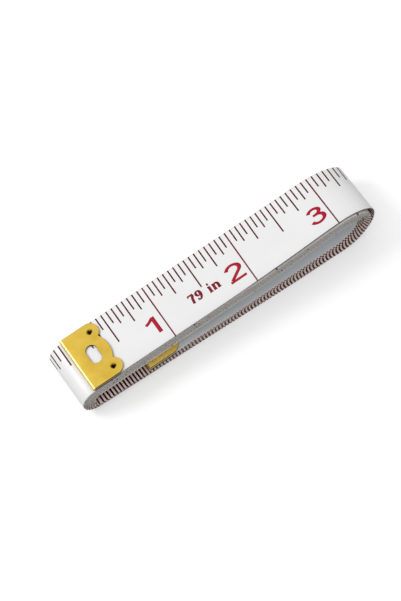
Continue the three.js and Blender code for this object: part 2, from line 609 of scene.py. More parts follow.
    def inner_run(self, side: Side) -> np.ndarray:
        """The last lower run, which lifts off the lap below to make room for its clip's lower leaf.

        Args:
            side: the edge.

        Returns:
            Points in the winding's profile.
        """
        floor = self.middle_bend(self.laps, side).low_z
        x = np.linspace(self.sync_x(self.laps), self.end_place, self.ramp_points)
        share = (self.end_level + self.end_ramp - x) / self.end_ramp
        lift = [smooth(value) * (self.end_height - floor) for value in share]
        return np.stack([x, floor + np.array(lift)], axis=1)

    def lap_parts(self, lap: int, side: Side) -> list[tuple[np.ndarray, int]]:
        """One lap's pieces of route, each with its number of steps.

        Args:
            lap: the lap's number, 1 for the outermost.
            side: the edge.

        Returns:
            Profile points and steps, in the order in which the tape runs.
        """
        lead_steps = round((self.lead_sync - self.tape_start) / self.lead_step)
        run, over = self.split_upper(lap, side)
        parts = [
            (run, lead_steps if lap == 1 else self.run_steps),
            (over, self.bend_steps),
            (self.right_low(lap, side), self.bend_steps),
        ]
        if lap == self.laps:
            return [*parts, (self.inner_run(side), 2 * self.run_steps)]
        low = parts[-1][0][-1]
        level = np.array([low, [self.left_x + (lap - 1) * self.left_slack, low[1]]])
        return [*parts, (level, self.run_steps), (self.left_bend(lap, side), self.left_steps)]

    def profile(self, side: Side) -> tuple[np.ndarray, np.ndarray]:
        """One edge's whole route.

        Args:
            side: the edge.

        Returns:
            Its points in the profile, and how many laps the tape has made at each of them.
        """
        points = []
        turns = []
        for lap in range(1, self.laps + 1):
            parts = self.lap_parts(lap, side)
            for number, (curve, steps) in enumerate(parts):
                spaced = resample(curve, steps + 1)
                first = 0 if not points else 1
                points.append(spaced[first:])
                share = np.linspace(number, number + 1, steps + 1)[first:]
                turns.append(lap - 1 + np.minimum(share, 1.0))
        return np.concatenate(points), np.concatenate(turns)

    def drift(self, x: np.ndarray, turns: np.ndarray, along: np.ndarray, under: np.ndarray) -> np.ndarray:
        """How far the tape has slid sideways: lower runs turn more lap by lap, and no lap is quite even.

        Args:
            x: distance from the zero mark at each station.
            turns: laps made there.
            along: length of tape used there.
            under: 0 on a top run and 1 on a lower run.

        Returns:
            The sideways place of the tape's middle.
        """
        inner = np.clip((turns - 1) / (self.laps - 1), 0, 1)
        turned = under * inner**self.depth_power * math.tan(self.yaw) * (x - self.yaw_pivot)
        settled = np.clip((along - self.settle_start) / self.settle_span, 0, 1)
        loose = np.array([smooth((value - self.loose_start) / self.loose_span) for value in x])
        first, second = self.wobble_lengths
        uneven = np.sin(along / first) + np.sin(along / second + 1.0)
        ahead = np.array([smooth((value - self.forward_start) / self.forward_span) for value in x])
        above = (self.tight_drift * loose - self.forward * ahead) * (1 - under)
        return turned + self.loose_drift * loose * (1 - settled) + (above + self.wobble * uneven) * settled

    def ribbon(self) -> Ribbon:
        """The whole tape's stations.

        Returns:
            The stations in the frame, in millimetres.
        """
        profiles = {side: self.profile(side) for side in Side}
        lines = {side: profiles[side][0] for side in Side}
        along = {side: lengths(lines[side]) + self.tape_start / self.lead.direction.x for side in Side}
        middle = (along[Side.NEAR] + along[Side.FAR]) / 2
        turns = profiles[Side.NEAR][1]
        kept = np.clip(1 - (middle - self.settle_start) / self.settle_span, 0, 1)
        slack = self.lower_slack * np.clip((middle - self.slack_start) / self.slack_span, 0, 1)
        slack -= self.stretch * np.maximum(middle - self.stretch_start, 0)
        edges = []
        normals = []
        reading = []
        for side in Side:
            line = lines[side]
            tangent = np.gradient(line, axis=0)
            tangent /= np.linalg.norm(tangent, axis=1, keepdims=True)
            under = (1 - tangent[:, 0]) / 2
            drift = self.drift(line[:, 0], turns, middle, under)
            offset = self.width * (side.value - 0.5)
            turn = np.clip(np.gradient(drift, middle), -self.most_turn, self.most_turn)
            slid = line - offset * turn[:, None] * tangent
            place = np.stack([slid[:, 0], offset + drift, slid[:, 1]], axis=1)
            edges.append(place + np.array(self.lead.origin))
            normals.append(np.stack([-tangent[:, 1], np.zeros(len(line)), tangent[:, 0]], axis=1))
            reading.append(middle + (along[side] - middle) * kept + slack)
        return Ribbon(np.array(edges), np.array(normals), np.array(reading))

    def outer_clip(self) -> Matrix:
        """The place of the outer clip, on the free run's end."""
        return Matrix.Translation(self.lead.zero) @ Matrix.Rotation(-math.atan(self.lead.slope), 4, "Y")

    def inner_clip(self) -> Matrix:
        """The place of the inner clip, in the eye of the winding.

        Returns:
            Its place in the frame, in millimetres.
        """
        aside = math.tan(self.yaw) * (self.clip_place - self.yaw_pivot)
        spot = self.lead.origin + Vector((self.clip_place, aside, self.end_height))
        return Matrix.Translation(spot) @ Matrix.Rotation(self.yaw, 4, "Z")


@dataclass(frozen=True)
class Stroke:
    """One pen stroke of a printed figure, in millimetres from the figure's lower left corner."""

    points: tuple[Point, ...]
    upright: float = 0.5
    level: float = 0.3


def arc(x: float, y: float, wide: float, high: float, start: float, end: float) -> tuple[Point, ...]:
    """Points on an ellipse.

    Args:
        x: its middle along the tape.
        y: its middle across the tape.
        wide: its half width.
        high: its half height.
        start: the first angle in degrees.
        end: the last angle in degrees.

    Returns:
        The points, in order.
    """
    turns = [math.radians(start + (end - start) * i / ARC_STEPS) for i in range(ARC_STEPS + 1)]
    return tuple((x + wide * math.cos(t), y + high * math.sin(t)) for t in turns)


FIGURES: dict[str, tuple[Stroke, ...]] = {
    "1": (Stroke(((0.12, 3.36), (1.25, 3.8), (2.3, 4.45))), Stroke(((2.43, 0.0), (2.43, 4.7)), upright=0.45)),
    "2": (
        Stroke((*arc(2.2, 3.25, 1.74, 1.18, 168, -34), (0.62, 0.6))),
        Stroke(((0.02, 0.27), (4.4, 0.27))),
    ),
    "3": (
        Stroke(arc(2.15, 3.55, 1.45, 0.88, 168, -84)),
        Stroke(arc(2.2, 1.45, 1.74, 1.18, 84, -168)),
        Stroke(((1.45, 2.62), (2.4, 2.65))),
    ),
    "4": (
        Stroke(((3.1, 0.0), (3.1, 4.7))),
        Stroke(((2.9, 4.5), (0.3, 1.5))),
        Stroke(((0.05, 1.3), (4.3, 1.3))),
    ),
    "5": (
        Stroke(((0.75, 4.43), (3.95, 4.43))),
        Stroke(((1.0, 4.4), (0.66, 2.25))),
        Stroke(arc(2.1, 1.52, 1.74, 1.25, 148, -162)),
    ),
    "6": (Stroke(arc(2.2, 1.45, 1.7, 1.18, 0, 360)), Stroke(arc(2.25, 2.35, 1.75, 2.08, 48, 192))),
    "7": (Stroke(((0.1, 4.43), (4.25, 4.43))), Stroke(((3.95, 4.3), (2.9, 2.9), (2.1, 1.5), (1.75, 0.0)))),
    "8": (Stroke(arc(2.2, 3.5, 1.4, 0.92, 0, 360)), Stroke(arc(2.2, 1.42, 1.72, 1.17, 0, 360))),
    "9": (Stroke(arc(2.2, 3.25, 1.7, 1.18, 0, 360)), Stroke(arc(2.15, 2.35, 1.75, 2.08, 228, 372))),
    "0": (Stroke(arc(2.2, 2.35, 1.75, 2.08, 0, 360)),),
}

SEVENTY_NINE = (
    Stroke(((0.05, 2.67), (1.65, 2.67)), level=0.17),
    Stroke(((0.12, 2.67), (0.12, 2.05)), upright=0.08),
    Stroke(((1.5, 2.6), (1.02, 1.4), (0.85, 0.0)), upright=0.26),
    Stroke(arc(2.95, 2.0, 0.58, 0.74, 0, 360), upright=0.27, level=0.13),
    Stroke(arc(2.7, 1.75, 0.9, 1.6, 12, -100), upright=0.25, level=0.15),
    Stroke(((2.2, 0.42), (2.62, 0.42)), level=0.22),
)

UNIT = (
    Stroke(((6.18, 0.0), (6.18, 1.92)), upright=0.27),
    Stroke(((5.68, 0.11), (6.68, 0.11)), level=0.11),
    Stroke(((5.72, 1.82), (6.2, 1.82)), level=0.11),
    Stroke(((5.95, 2.62), (6.42, 2.62)), level=0.24),
    Stroke(((7.42, 0.0), (7.42, 1.92)), upright=0.27),
    Stroke(((6.98, 0.11), (7.88, 0.11)), level=0.11),
    Stroke(((7.0, 1.82), (7.42, 1.82)), level=0.11),
    Stroke(arc(8.05, 1.2, 0.6, 0.56, 160, 0), upright=0.27, level=0.17),
    Stroke(((8.65, 1.25), (8.65, 0.0)), upright=0.27),
    Stroke(((8.22, 0.11), (9.12, 0.11)), level=0.11),
)


@dataclass(frozen=True)
class Legend:
    """Strokes printed on one of the tape's faces, with the place of their lower left corner."""

    strokes: tuple[Stroke, ...]
    reading: float
    across: float
    ink: Ink
    scale: float = 1.08
    weight: float = 1.18
    face: Face = Face.OUTER

    @property
    def stride(self) -> np.ndarray:
        """The tape's millimetres along and across for each millimetre of a figure."""
        return np.array([self.face.value, 1.0]) * self.scale

    @property
    def middle(self) -> float:
        """The reading in the middle of the legend."""
        along = [point[0] for stroke in self.strokes for point in stroke.points]
        return self.reading + self.stride[0] * float(np.mean(along))


@dataclass(frozen=True)
class BakeRows:
    """How a bake's map of a long piece is cut into rows: each is a length of the tape's unrolled section."""

    first: float
    last: float
    around: float
    row: float = 270.0
    gap: float = 1.0
    overlap: float = 7.0

    def row_of(self, reading: float) -> int:
        """The row that a reading of the scale falls in."""
        return int((reading - self.first) // self.row)

    def spot(self, row: int, reading: float, around: float) -> Point:
        """The place of a point in the map.

        Args:
            row: its row.
            reading: its reading of the scale.
            around: its distance round the section.

        Returns:
            Its place, from 0 to 1 both ways.
        """
        wide = min(self.last - self.first, self.row) + 2 * self.gap + self.overlap
        high = (self.row_of(self.last) + 1) * (self.around + self.gap)
        size = max(wide, high)
        along = reading - self.first - row * self.row + self.gap
        return along / size, (row * (self.around + self.gap) + around) / size


@dataclass(frozen=True)
class TapeVinyl:
    """Satin white PVC calendered over woven glass fibre, and the screen printed scale on its two faces.

    The soft coating gives a broad even sheen. The weave shows through it as a faint dimpling, and the cut
    edges, where the cloth is bare, are greyer and dull.
    """

    width: float
    thickness: float
    length: float
    face: str = "#e9e9ea"
    shade: str = "#e2e2e1"
    edge: str = "#bcbbb6"
    # Painted shade on the outer lap's near edge: its colour, and the readings where it starts, is full and
    # ends
    soiled: str = "#4a4741"
    soiled_reach: tuple[float, float, float] = (36.0, 58.0, 92.0)
    bleed: str = "#f8d9d3"
    bare_edge: str = "#dededa"
    # The inner face is a little darker and bluer than the outer face: painted shade for the inside of the
    # winding
    back: str = "#dcdfe1"
    tick_ink: str = "#520c1c"
    inch_ink: str = "#6c0c24"
    metric_ink: str = "#150407"
    roughness: float = 0.4
    ink_roughness: float = 0.55
    gloss: float = 0.5
    ink_gloss: float = 0.12
    refraction: float = 1.53
    inch_line: float = 0.4
    metric_line: float = 0.5
    ink_wrap: float = 0.48
    bleed_reach: float = 2.2
    inch_ticks: tuple[Point, ...] = ((16, 4.0), (8, 5.2), (4, 6.9), (2, 9.4))
    metric_ticks: tuple[Point, ...] = ((1.0, 3.6), (5.0, 5.5), (10.0, 8.0))
    blank_end: float = 148.0
    # Coarser than the cloth's own threads, which are too fine to show
    thread: float = 0.45
    dimple: float = 0.008
    dimple_strength: float = 0.25
    cloud: float = 9.0

    def marks(self, tree: Tree, scale: Socket, rows: Sequence[tuple[float, float, Socket]]) -> Socket:
        """Draws lines across the tape at even readings of a scale.

        Args:
            tree: the node tree.
            scale: the reading, in millimetres.
            rows: for each rank of line its spacing, its half width and the socket of where it reaches.

        Returns:
            A socket that is 1 on a line.
        """
        total = None
        for spacing, half, reach in rows:
            away = add_node(tree, "Math", {0: scale, 1: spacing / 2}, operation="PINGPONG")
            line = add_node(tree, "Math", {0: away.outputs[0], 1: half}, operation="LESS_THAN")
            drawn = add_node(tree, "Math", {0: line.outputs[0], 1: reach}, operation="MULTIPLY")
            if total is not None:
                drawn = add_node(tree, "Math", {0: total, 1: drawn.outputs[0]}, operation="MAXIMUM")
            total = drawn.outputs[0]
        return total

    def between(self, tree: Tree, value: Socket, low: float, high: float) -> Socket:
        """Tells where a value lies between two limits.

        Args:
            tree: the node tree.
            value: the value.
            low: the lower limit.
            high: the upper limit.

        Returns:
            A socket that is 1 between them.
        """
        half = (high - low) / 2
        inputs = {0: value, 1: low + half, 2: half}
        return add_node(tree, "Math", inputs, operation="COMPARE").outputs[0]

    @property
    def half_edge(self) -> float:
        """The length round the section of half a rounded edge."""
        return math.pi * self.thickness / 4

    @property
    def far_edge(self) -> float:
        """The distance round the section at which the far edge starts."""
        return self.width - self.thickness / 2

    @property
    def near_edge(self) -> float:
        """The distance round the section at which the near edge starts, past the inner face."""
        return self.far_edge + 2 * self.half_edge + self.width - self.thickness

    @property
    def ink_reach(self) -> float:
        """How far round the near edge the ink of the inner face runs."""
        return 2 * self.ink_wrap * self.half_edge

    def inch_marks(self, tree: Tree, along: Socket, around: Socket) -> tuple[Socket, ...]:
        """Draws the outer face's scale: short ticks at the far edge and a line right across at each inch.

        Args:
            tree: the node tree.
            along: the reading.
            around: the distance round the section.

        Returns:
            The sockets of the ticks, of the inch lines and of their specks on the near edge.
        """
        top = self.far_edge + self.half_edge
        rows = [
            (INCH / parts, self.inch_line / 2, self.between(tree, around, self.width - reach, top))
            for parts, reach in self.inch_ticks
        ]
        face = self.between(tree, around, 0.0, top)
        brow = self.near_edge + self.half_edge
        rim = self.between(tree, around, brow, brow + self.half_edge)
        zones = (rows, [(INCH, self.inch_line / 2, face)], [(INCH, self.inch_line / 2, rim)])
        return tuple(self.marks(tree, along, zone) for zone in zones)

    def metric_marks(self, tree: Tree, back: Socket, around: Socket, printed: Socket) -> Socket:
        """Draws the inner face's scale, whose ticks run over the inner half of the near edge.

        Args:
            tree: the node tree.
            back: the reading from the inner end.
            around: the distance round the section.
            printed: the socket that is 1 on the printed stretch.

        Returns:
            The socket of the ticks.
        """
        rows = []
        for spacing, reach in self.metric_ticks:
            zone = self.between(tree, around, self.near_edge - reach, self.near_edge + self.ink_reach)
            kept = add_node(tree, "Math", {0: zone, 1: printed}, operation="MULTIPLY").outputs[0]
            rows.append((spacing, self.metric_line / 2, kept))
        return self.marks(tree, back, rows)

    def soil(self, tree: Tree, along: Socket, near: Socket) -> Socket:
        """Darkens the outermost lap's near edge, as painted shade for the dark gap under the free run's edge.

        Args:
            tree: the node tree.
            along: the reading.
            near: the socket that is 1 on the near edge.

        Returns:
            The socket of the painted shade's share.
        """
        first, full, last = self.soiled_reach
        inputs = {"Value": along, "From Min": first, "From Max": full}
        grown = add_node(tree, "MapRange", inputs).outputs[0]
        outer = add_node(tree, "Math", {0: along, 1: last}, operation="LESS_THAN").outputs[0]
        share = add_node(tree, "Math", {0: grown, 1: outer}, operation="MULTIPLY").outputs[0]
        return add_node(tree, "Math", {0: share, 1: near}, operation="MULTIPLY").outputs[0]

    def weave(self, tree: Tree, along: Socket, around: Socket) -> Socket:
        """Lets the cloth's threads show through the coating as a faint dimpling.

        Args:
            tree: the node tree.
            along: the reading.
            around: the distance round the section.

        Returns:
            The normal's socket.
        """
        turn = 2 * math.pi / self.thread
        waves = []
        for socket in (along, around):
            phase = add_node(tree, "Math", {0: socket, 1: turn}, operation="MULTIPLY").outputs[0]
            waves.append(add_node(tree, "Math", {0: phase}, operation="SINE").outputs[0])
        height = add_node(tree, "Math", {0: waves[0], 1: waves[1]}, operation="MULTIPLY").outputs[0]
        inputs = {"Strength": self.dimple_strength, "Distance": self.dimple * MM, "Height": height}
        return add_node(tree, "Bump", inputs).outputs[0]

    def build(self) -> Material:
        """Makes the material, which reads the tape's own map: millimetres along it and round its section.

        Returns:
            The material.
        """
        material, tree = new_material("screen_printed_vinyl_cloth")
        place = add_node(tree, "UVMap", uv_map=TAPE_MAP).outputs["UV"]
        split = add_node(tree, "SeparateXYZ", {0: place})
        along, around = split.outputs[0], split.outputs[1]
        back = add_node(tree, "Math", {0: self.length, 1: along}, operation="SUBTRACT").outputs[0]
        printed = add_node(tree, "Math", {0: back, 1: self.blank_end}, operation="GREATER_THAN").outputs[0]
        cloud = add_node(tree, "TexNoise", {"Vector": place, "Scale": 1 / self.cloud}).outputs["Fac"]
        far = self.between(tree, around, self.far_edge, self.far_edge + 2 * self.half_edge)
        near = add_node(tree, "Math", {0: around, 1: self.near_edge}, operation="GREATER_THAN").outputs[0]
        rim = add_node(tree, "Math", {0: far, 1: near}, operation="ADD").outputs[0]
        shaded_inner_face = self.between(tree, around, self.far_edge + 2 * self.half_edge, self.near_edge)
        bare = add_node(tree, "Math", {0: rim, 1: printed}, operation="SUBTRACT").outputs[0]
        strip = self.between(tree, around, self.near_edge - self.bleed_reach, self.near_edge + self.ink_reach)
        bled = add_node(tree, "Math", {0: strip, 1: printed}, operation="MULTIPLY").outputs[0]
        soil = self.soil(tree, along, near)
        ticks, lines, specks = self.inch_marks(tree, along, around)
        metric = self.metric_marks(tree, back, around, printed)
        coats = (
            (cloud, self.shade),
            # painted shade on the inner face
            (shaded_inner_face, self.back),
            (rim, self.edge),
            (bare, self.bare_edge),
            # painted shade on the outer lap's near edge
            (soil, self.soiled),
            (bled, self.bleed),
            (ticks, self.tick_ink),
            (lines, self.inch_ink),
            (specks, self.metric_ink),
            (metric, self.metric_ink),
        )
        colour = linear(self.face)
        for share, coat in coats:
            inputs = {0: share, 6: colour, 7: linear(coat)}
            colour = add_node(tree, "Mix", inputs, data_type="RGBA").outputs[2]
        inked = add_node(tree, "Math", {0: ticks, 1: metric}, operation="MAXIMUM").outputs[0]
        dull = add_node(tree, "Math", {0: inked, 1: rim}, operation="MAXIMUM").outputs[0]
        inputs = {"Value": dull, "To Min": self.roughness, "To Max": self.ink_roughness}
        rough = add_node(tree, "MapRange", inputs).outputs[0]
        inputs = {"Value": inked, "To Min": self.gloss, "To Max": self.ink_gloss}
        sheen = add_node(tree, "MapRange", inputs).outputs[0]
        inputs = {
            "Base Color": colour,
            "Specular IOR Level": sheen,
            "Roughness": rough,
            "IOR": self.refraction,
            "Normal": self.weave(tree, along, around),
        }
        shader = add_node(tree, "BsdfPrincipled", inputs)
        add_node(tree, "OutputMaterial", {0: shader.outputs[0]})
        return material


@dataclass(frozen=True)
class FigureInk:
    """Screen printing ink on vinyl: a thin dull film, a little uneven where the mesh let less through."""

    name: str
    full: str
    thin: str
    roughness: float = 0.6
    gloss: float = 0.2
    mottle: float = 0.6
    spread: Point = (0.35, 0.75)

    def build(self) -> Material:
        """Makes the ink's material.

        Returns:
            The material.
        """
        material, tree = new_material(self.name)
        place = add_node(tree, "TexCoord")
        inputs = {"Vector": place.outputs["Object"], "Scale": 1 / (self.mottle * MM)}
        noise = add_node(tree, "TexNoise", inputs)
        inputs = {"Value": noise.outputs["Fac"], "From Min": self.spread[0], "From Max": self.spread[1]}
        share = add_node(tree, "MapRange", inputs)
        inputs = {0: share.outputs[0], 6: linear(self.full), 7: linear(self.thin)}
        colour = add_node(tree, "Mix", inputs, data_type="RGBA").outputs[2]
        inputs = {"Base Color": colour, "Roughness": self.roughness, "Specular IOR Level": self.gloss}
        shader = add_node(tree, "BsdfPrincipled", inputs)
        add_node(tree, "OutputMaterial", {0: shader.outputs[0]})
        return material


# In the order of Ink: the figures are bright red, and the small legend is dark enough to read
INKS = (
    FigureInk("crimson_screen_ink", "#a80528", "#b00f32"),
    FigureInk("maroon_screen_ink", "#7c0720", "#86102a"),
)


@dataclass(frozen=True)
class StampedBrass:
    """Rolled brass strip, stamped and folded: yellow metal with faint rolling lines, and crimp pits whose
    floors are painted near black as shade.
    """

    name: str = "stamped_brass"
    metal: str = "#e8ca5c"
    worn: str = "#dfbd4c"
    # The pit floor's near-black colour is painted shade for the depth of the pit
    pit: str = "#1c1206"
    smoothest: float = 0.56
    dullest: float = 0.68
    brushing: float = 0.6
    cloud: float = 3.0
    rolling: float = 0.22
    spread: Point = (0.35, 0.7)
    cloud_detail: float = 4.0
    line_detail: float = 3.0
    drawn_out: Place = (0.12, 1.0, 1.0)
    line_depth: float = 0.01
    line_strength: float = 0.12

    def build(self) -> Material:
        """Makes the metal's material.

        Returns:
            The material.
        """
        material, tree = new_material(self.name)
        place = add_node(tree, "TexCoord").outputs["Object"]
        inputs = {"Vector": place, "Scale": 1 / (self.cloud * MM), "Detail": self.cloud_detail}
        cloud = add_node(tree, "TexNoise", inputs).outputs["Fac"]
        inputs = {"Value": cloud, "From Min": self.spread[0], "From Max": self.spread[1]}
        share = add_node(tree, "MapRange", inputs).outputs[0]
        pit = add_node(tree, "Attribute", attribute_name=PIT_SHADE_LAYER).outputs["Fac"]
        colour = linear(self.metal)
        for amount, coat in ((share, self.worn), (pit, self.pit)):
            inputs = {0: amount, 6: colour, 7: linear(coat)}
            colour = add_node(tree, "Mix", inputs, data_type="RGBA").outputs[2]
        stretch = add_node(tree, "Mapping", {"Vector": place, "Scale": self.drawn_out}).outputs[0]
        inputs = {"Vector": stretch, "Scale": 1 / (self.rolling * MM), "Detail": self.line_detail}
        lines = add_node(tree, "TexNoise", inputs).outputs["Fac"]
        inputs = {"Value": lines, "To Min": self.smoothest, "To Max": self.dullest}
        rough = add_node(tree, "MapRange", inputs).outputs[0]
        inputs = {"Strength": self.line_strength, "Distance": self.line_depth * MM, "Height": lines}
        bump = add_node(tree, "Bump", inputs).outputs[0]
        tangent = add_node(tree, "Tangent", direction_type="UV_MAP", uv_map=GRAIN_MAP).outputs[0]
        inputs = {
            "Base Color": colour,
            "Metallic": 1.0,
            "Anisotropic": self.brushing,
            "Tangent": tangent,
            "Roughness": rough,
            "Normal": bump,
        }
        shader = add_node(tree, "BsdfPrincipled", inputs)
        add_node(tree, "OutputMaterial", {0: shader.outputs[0]})
        return material


# Bright rolled strip: a broad yellow shine
STAMPED = StampedBrass()
# The cut edges: a near-black copy of the brass, painted shade that draws a thin dark outline
SHADED_RIM = StampedBrass("painted_shade_rim_brass", metal="#46360f", worn="#38290a")
# The outside of the fold: smoother brass that catches a real highlight, with a paler colour that is a painted
# highlight
FOLD_HIGHLIGHT = StampedBrass(
    "fold_highlight_brass", metal="#ecd48a", worn="#e4c878", smoothest=0.34, dullest=0.42, brushing=0.0
)
# The inner clip: fully rough and without reflections, with a paler, yellower colour than the outer clip,
# which is painted light for a clip that lies in shade
LIT_INNER_BRASS = StampedBrass(
    "painted_light_brass", metal="#fff0a0", worn="#ffea94", smoothest=0.9, dullest=1.0, brushing=0.0
)


@dataclass
class PrintedTape:
    """The whole tape: the winding and the pieces of its free run, with the figures printed on them."""

    path: WindingPath
    cuts: tuple[float, ...] = (24.4, 38.6, 56.3, 70.15)
    bend_before: float = 0.8
    bend_after: float = 5.5
    face_steps: int = 6
    edge_steps: int = 6
    ink_film: float = 0.012
    inner_film: float = 0.035
    stroke_step: float = 0.4
    figure_inset: float = 4.95
    figure_base: float = 3.3
    figure_count: int = 11
    figure_advance: float = 4.6
    wide_inset: float = 1.0
    close_figures: tuple[int, ...] = (1, 8)
    metric_scale: float = 0.45
    metric_weight: float = 0.55
    metric_inset: float = 3.9
    metric_advance: float = 2.3
    metric_base: float = 8.8
    legend_weight: float = 1.42
    legend_corner: Point = (33.4, 4.7)
    bodies: tuple[str, ...] = ("winding", "lead_1", "lead_2", "lead_3", "lead_tip")
    nodes: tuple[str, ...] = ("tape_coil", "tape_lead_1", "tape_lead_2", "tape_lead_3", "tape_lead_tip")
    names: tuple[str, ...] = ("tape_winding", "tape_run_1", "tape_run_2", "tape_run_3", "tape_run_tip")
    film_layers: int = 10
    blank_reading: float = 0.5
    end_spot: Point = (0.999, 0.999)
    whole: Ribbon = field(init=False)
    printing: list[Legend] = field(init=False)
    vinyl: Material = field(init=False)
    inks: list[Material] = field(init=False)

    def __post_init__(self) -> None:
        """Lays out the whole tape and its printing, and makes its materials."""
        self.whole = self.path.ribbon()
        self.printing = self.inch_legends() + self.metric_legends() + self.length_legends()
        self.vinyl = TapeVinyl(self.path.width, self.path.thickness, self.length).build()
        self.inks = [ink.build() for ink in INKS]

    @property
    def length(self) -> float:
        """The whole tape's length."""
        return float(self.whole.reading[0, -1])

    def section(self) -> list[tuple[float, float, float]]:
        """The tape's cross-section with its rounded edges, once round from the near edge's outer face.

        Returns:
            For each point its place across the tape, its height and the distance round the section.
        """
        radius = self.path.thickness / 2
        flat = self.path.width - 2 * radius
        ring = [(radius + flat * i / self.face_steps, radius) for i in range(self.face_steps + 1)]
        turns = [math.pi * i / self.edge_steps for i in range(1, self.edge_steps + 1)]
        ring += [(radius + flat + radius * math.sin(t), radius * math.cos(t)) for t in turns]
        ring += [(radius + flat * (1 - i / self.face_steps), -radius) for i in range(1, self.face_steps + 1)]
        ring += [(radius - radius * math.sin(t), -radius * math.cos(t)) for t in turns]
        rounded = math.pi * radius / self.edge_steps
        steps = [flat / self.face_steps] * self.face_steps + [rounded] * self.edge_steps
        around = np.concatenate([[radius], radius + np.cumsum(steps * 2)])
        return [(c, h, float(w)) for (c, h), w in zip(ring, around)]

    def skin(self, ribbon: Ribbon) -> Mesh:
        """Lays the tape's closed skin along its stations and shuts both ends.

        Args:
            ribbon: the stations.

        Returns:
            The skin's mesh, with the tape's own map in millimetres and the map that a bake uses.
        """
        bm = bmesh.new()
        own = bm.loops.layers.uv.new(TAPE_MAP)
        bake = bm.loops.layers.uv.new(BAKE_MAP)
        ring = self.section()
        shares = [across / self.path.width for across, _, _ in ring]
        size = (len(ribbon) - 1, len(ring) - 1)
        index = mapped_grid(bm, *size, lambda i, j: ribbon.point(i, shares[j], ring[j][1]))
        rows = BakeRows(float(ribbon.reading.min()), float(ribbon.reading.max()), ring[-1][2])
        for face in bm.faces:
            row = min(rows.row_of(ribbon.reading_at(index[v][0], 0.5)) for v in face.verts)
            for loop in face.loops:
                i, j = index[loop.vert]
                reading = ribbon.reading_at(i, shares[j])
                loop[own].uv = (reading, ring[j][2])
                loop[bake].uv = rows.spot(row, reading, ring[j][2])
        bmesh.ops.remove_doubles(bm, verts=bm.verts, dist=WELD)
        ends = [edge for edge in bm.edges if edge.is_boundary]
        for face in bmesh.ops.holes_fill(bm, edges=ends, sides=0)["faces"]:
            for loop in face.loops:
                loop.edge.smooth = False
                loop[own].uv = (self.blank_reading, self.path.width + self.path.thickness / 4)
                loop[bake].uv = self.end_spot
        bmesh.ops.recalc_face_normals(bm, faces=bm.faces)
        return bm

    def print_stroke(self, bm: Mesh, legend: Legend, number: int) -> None:
        """Lays one stroke of a legend on its face of the tape as a thin closed film.

        Args:
            bm: the mesh of the figures.
            legend: the strokes and their place.
            number: which of the strokes it is.
        """
        stroke = legend.strokes[number]
        raw = np.array(stroke.points) * legend.stride + np.array([legend.reading, legend.across])
        steps = max(2, math.ceil(lengths(raw)[-1] / self.stroke_step))
        line = resample(raw, steps + 1)
        tangent = np.gradient(line, axis=0)
        tangent /= np.linalg.norm(tangent, axis=1, keepdims=True)
        wide = np.array([stroke.upright, stroke.level]) * legend.weight
        offset = np.stack([-tangent[:, 1] * wide[0], tangent[:, 0] * wide[1]], axis=1)
        face = self.path.thickness / 2
        base = self.ink_film if legend.face is Face.OUTER else self.inner_film
        film = base * (1 + number / self.film_layers)
        ring = ((-1, film), (0, film), (1, film), (1, -film), (-1, -film), (-1, film))

        def place(i: int, j: int) -> Vector:
            """The place of one point of the stroke's section on the tape."""
            side, height = ring[j]
            reading, across = line[i] + offset[i] * side
            out = legend.face.value * (face + height)
            return self.whole.at_reading(reading, across / self.path.width, out)

        verts = list(mapped_grid(bm, steps, len(ring) - 1, place))
        bmesh.ops.remove_doubles(bm, verts=verts, dist=WELD)
        ends = [edge for edge in bm.edges if edge.is_boundary]
        bmesh.ops.holes_fill(bm, edges=ends, sides=0)
        shell = list({f for v in verts if v.is_valid for f in v.link_faces})
        bmesh.ops.recalc_face_normals(bm, faces=shell)
        for part in shell:
            part.material_index = legend.ink.value

    def inch_legends(self) -> list[Legend]:
        """The inch figures of the two outermost laps, each left of its line.

        Returns:
            The legends, in order along the tape.
        """
        found = []
        for number in range(1, self.figure_count + 1):
            figures = str(number)
            inset = self.figure_inset + (0.0 if number in self.close_figures else self.wide_inset)
            for place, figure in enumerate(reversed(figures)):
                corner = number * INCH - inset - place * self.figure_advance
                found.append(Legend(FIGURES[figure], corner, self.figure_base, Ink.FIGURE))
        return found

    def metric_legends(self) -> list[Legend]:
        """The centimetre figures on the inner face of the free run, which shows when it is lifted.

        Returns:
            The legends, in order along the tape.
        """
        found = []
        first = math.ceil((self.length - self.path.lead_sync) / CENTIMETRE)
        for number in range(first, int(self.length / CENTIMETRE)):
            line = self.length - number * CENTIMETRE
            for place, figure in enumerate(reversed(str(number))):
                corner = line + self.metric_inset + place * self.metric_advance
                look = (Ink.LEGEND, self.metric_scale, self.metric_weight, Face.INNER)
                found.append(Legend(FIGURES[figure], corner, self.metric_base, *look))
        return found

    def length_legends(self) -> list[Legend]:
        """The tape's length, printed beside the first inches."""
        look = (*self.legend_corner, Ink.LEGEND, 1.0, self.legend_weight)
        return [Legend(strokes, *look) for strokes in (SEVENTY_NINE, UNIT)]

    def build_figures(self, name: str, ribbon: Ribbon) -> Piece | None:
        """Makes the figures whose middle lies on a piece of the tape.

        Args:
            name: the name of the piece of tape.
            ribbon: its stations.

        Returns:
            The figures as one piece, or nothing if that stretch has none.
        """
        start, end = ribbon.reading[0, 0], ribbon.reading[0, -1]
        chosen = [legend for legend in self.printing if start <= legend.middle < end]
        if not chosen:
            return None
        bm = bmesh.new()
        for legend in chosen:
            for number in range(len(legend.strokes)):
                self.print_stroke(bm, legend, number)
        figures = new_piece(name.replace("tape", "figures"), bm, self.inks)
        log.info("%s: %d legends", figures.name, len(chosen))
        return figures

